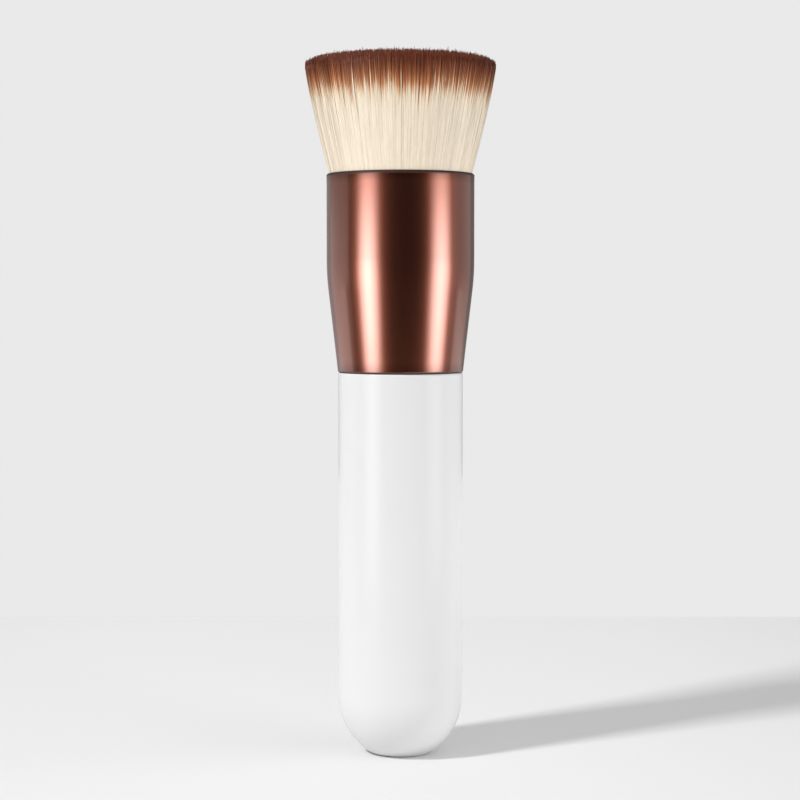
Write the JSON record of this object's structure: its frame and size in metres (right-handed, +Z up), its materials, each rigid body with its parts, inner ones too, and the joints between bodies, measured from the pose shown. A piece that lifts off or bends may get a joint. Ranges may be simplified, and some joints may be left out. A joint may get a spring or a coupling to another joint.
{
  "type": "kabuki makeup brush",
  "caption": "Flat-top makeup brush: a flared tuft of filaments bonded in a tapered metal ferrule on a round-ended handle that stands upright on its flat base.",
  "frame": {"origin": "centre of the flat at the lower end of the handle, which the brush stands on", "axes": "+Z up along the brush's axis, from the handle to the tuft; the brush is round about Z, so +X and +Y are free"},
  "size_m": [0.0348, 0.0348, 0.13],
  "materials": {
    "handle_gloss": "gloss",
    "ferrule_metal": "satin",
    "ring_plastic": "matte",
    "resin": "satin",
    "filament": "matte"
  },
  "bodies": {
    "root": {"handle": "handle_gloss", "ferrule": "ferrule_metal", "knot_ring": "ring_plastic", "root_resin": "resin", "tenon_resin": "resin", "bristles": "filament"}
  },
  "joints": []
}
